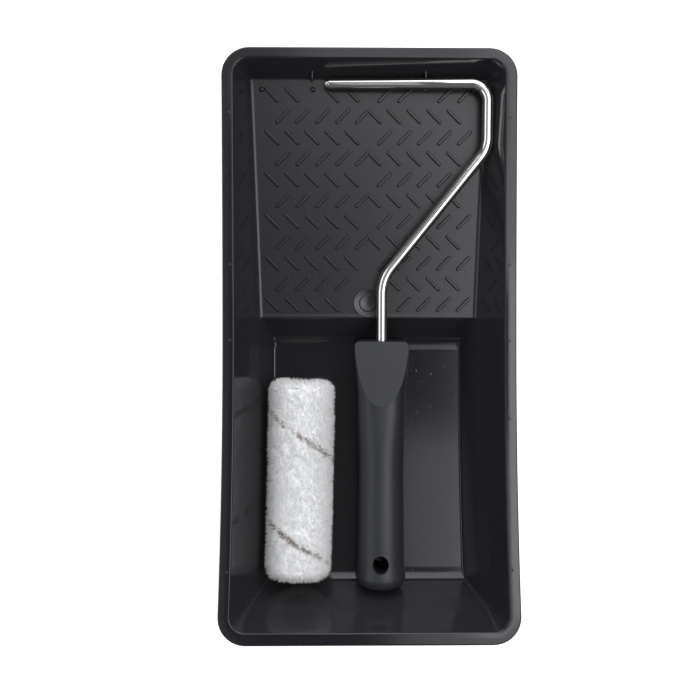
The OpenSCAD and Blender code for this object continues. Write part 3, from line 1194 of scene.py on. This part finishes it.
print(tuft_count, "tufts,", len(polygons), "faces")


# %% [markdown]
# ### Backing and tufts together
# The backing's corners go on the end of the same lists, so that backing and tufts are one mesh with one
# pair of yarn numbers and one set of shading directions. The mesh stands for the CAD ring and turns with
# the sleeve.

# %% Join backing and tufts
for vert in backing.verts:
    coords.append(vert.co.copy())
    dyes.append(dye_at(vert.co))
    yarns.append(0.2)
offset = len(coords) - len(backing.verts)
backing.verts.index_update()
bmesh.ops.recalc_face_normals(backing, faces=backing.faces)
backing.normal_update()
facings += [vert.normal.copy() for vert in backing.verts]
polygons += [tuple(offset + vert.index for vert in face.verts) for face in backing.faces]
backing.free()
pile_mesh = bpy.data.meshes.new("pile")
pile_mesh.from_pydata([sleeve_lies @ spot for spot in coords], [], polygons)
for name, values in (("dye", dyes), ("shade_of_yarn", yarns)):
    pile_mesh.attributes.new(name, "FLOAT", "POINT").data.foreach_set("value", values)
pile_mesh.shade_smooth()
turn_normals = sleeve_lies.to_3x3()
pile_mesh.normals_split_custom_set_from_vertices([turn_normals @ facing for facing in facings])
pile_mesh.materials.append(pile_white)
pile_piece = bpy.data.objects.new("pile", pile_mesh)
bpy.context.collection.objects.link(pile_piece)
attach(pile_piece, "sleeve")
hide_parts("pile_cover")
print("pile has", len(pile_mesh.polygons), "faces")


# %% [markdown]
# ## Stage
# The set lies on a white lit table, which leaves almost no shadow. A plain white floor under soft lights
# would still turn grey beside the tray, so this one glows a little. A weak, even world fills the rest.

# %% Floor and world
floor_glow = 0.6
floor_gap = 0.2 * MM
world_glow = 0.15


def pale_floor():
    material, shade, place, shader = start_material(
        "pale_floor", Roughness=0.8, Emission_Color=(1, 1, 1, 1), Emission_Strength=floor_glow)
    cloud = noise_at(shade, place, 3, 2)
    shade.plug(shader.inputs["Base Color"], cloud.blend((0.93, 0.93, 0.93), (0.95, 0.95, 0.95)))
    return material


floor_shape = bmesh.new()
bmesh.ops.create_circle(floor_shape, segments=96, radius=4, cap_ends=True)
floor_mesh = bpy.data.meshes.new("floor")
floor_shape.to_mesh(floor_mesh)
floor_shape.free()
floor_mesh.materials.append(pale_floor())
floor = bpy.data.objects.new("floor", floor_mesh)
floor.location.z = cad_box[0].z - floor_gap
bpy.context.collection.objects.link(floor)

world = bpy.data.worlds.new("studio")
world.use_nodes = True
background = next(node for node in world.node_tree.nodes if node.type == "BACKGROUND")
background.inputs["Color"].default_value = (0.97, 0.985, 1, 1)
background.inputs["Strength"].default_value = world_glow
bpy.context.scene.world = world
bpy.context.scene.view_settings.view_transform = "Standard"
print("floor at", round(floor.location.z, 4))


# %% [markdown]
# ## Lights
# Black plastic shows almost nothing but what it mirrors. Seen from above, the level faces mirror the
# ceiling, so the lights are a ceiling of flat boxes: the brightest to the right, weak ones to the left
# and a dark gap over the camera. A box behind lights the slopes that face it, and one low on the left
# lifts the left flanks of the sleeve and the handle. A light's power is worked out from how bright its
# face should look and how large it is.

# %% Lights
faint_rose = (1.0, 0.985, 1.02)


def soft_light(name, place, turned, width, length, radiance):
    """A rectangular light, width along X and length along Y before it is turned."""
    data = bpy.data.lights.new(name, "AREA")
    data.shape = "RECTANGLE"
    data.size = width
    data.size_y = length
    data.energy = radiance * math.pi * width * length
    data.color = faint_rose
    light = bpy.data.objects.new(name, data)
    light.location = place
    light.rotation_euler = [math.radians(angle) for angle in turned]
    bpy.context.collection.objects.link(light)


ceiling_z = 1.5
# near and far x, near and far y, and how bright the face looks
ceiling = {
    "right": (0.25, 1.3, -0.5, 0.15, 3.9),
    "right_back": (0.25, 1.3, 0.15, 1.0, 2.4),
    "right_front": (0.25, 1.3, -1.05, -0.5, 1.8),
    "beside_camera": (0.1, 0.25, -0.75, -0.15, 1.3),
    "behind_camera": (-0.05, 0.25, 0.12, 0.35, 2.4),
    "back_middle": (-0.07, 0.25, 0.35, 1.0, 1.5),
    "left_back": (-0.7, -0.07, 0.4, 1.0, 0.45),
    "left": (-0.7, -0.2, -1.0, 0.4, 0.3),
}
for name, (x0, x1, y0, y1, radiance) in ceiling.items():
    middle = ((x0 + x1) / 2, (y0 + y1) / 2, ceiling_z)
    soft_light(name, middle, (0, 0, 0), x1 - x0, y1 - y0, radiance)
soft_light("back", (0.0, 1.4, 1.12), (-52, 0, 0), 2.2, 1.27, 2.3)
soft_light("left_side", (-1.2, -0.1, 1.0), (0, -50, 0), 0.8, 1.6, 1.4)
print(len(ceiling) + 2, "lights")


# %% [markdown]
# ## Camera
# The set is shown from straight above. A flat view without perspective would hide the walls, so the
# camera hangs close enough that they lean outwards in the picture. It hangs a little left of the middle
# and leans by one degree, and a small shift recentres the tray.

# %% Camera
camera_rise = 0.571
camera_data = bpy.data.cameras.new("overhead")
camera_data.lens = 58.7
camera_data.sensor_width = 36
camera_data.shift_x = 0.005
camera = bpy.data.objects.new("overhead", camera_data)
camera.location = (-21.65 * MM, -1.7 * MM, rim_z + camera_rise)
camera.rotation_euler.y = -math.radians(1.0)
bpy.context.collection.objects.link(camera)
bpy.context.scene.camera = camera
print("camera", round(camera.location.z, 3), "m above the table")


# %% [markdown]
# ## Sizes
# The CAD model's box was measured right after loading.
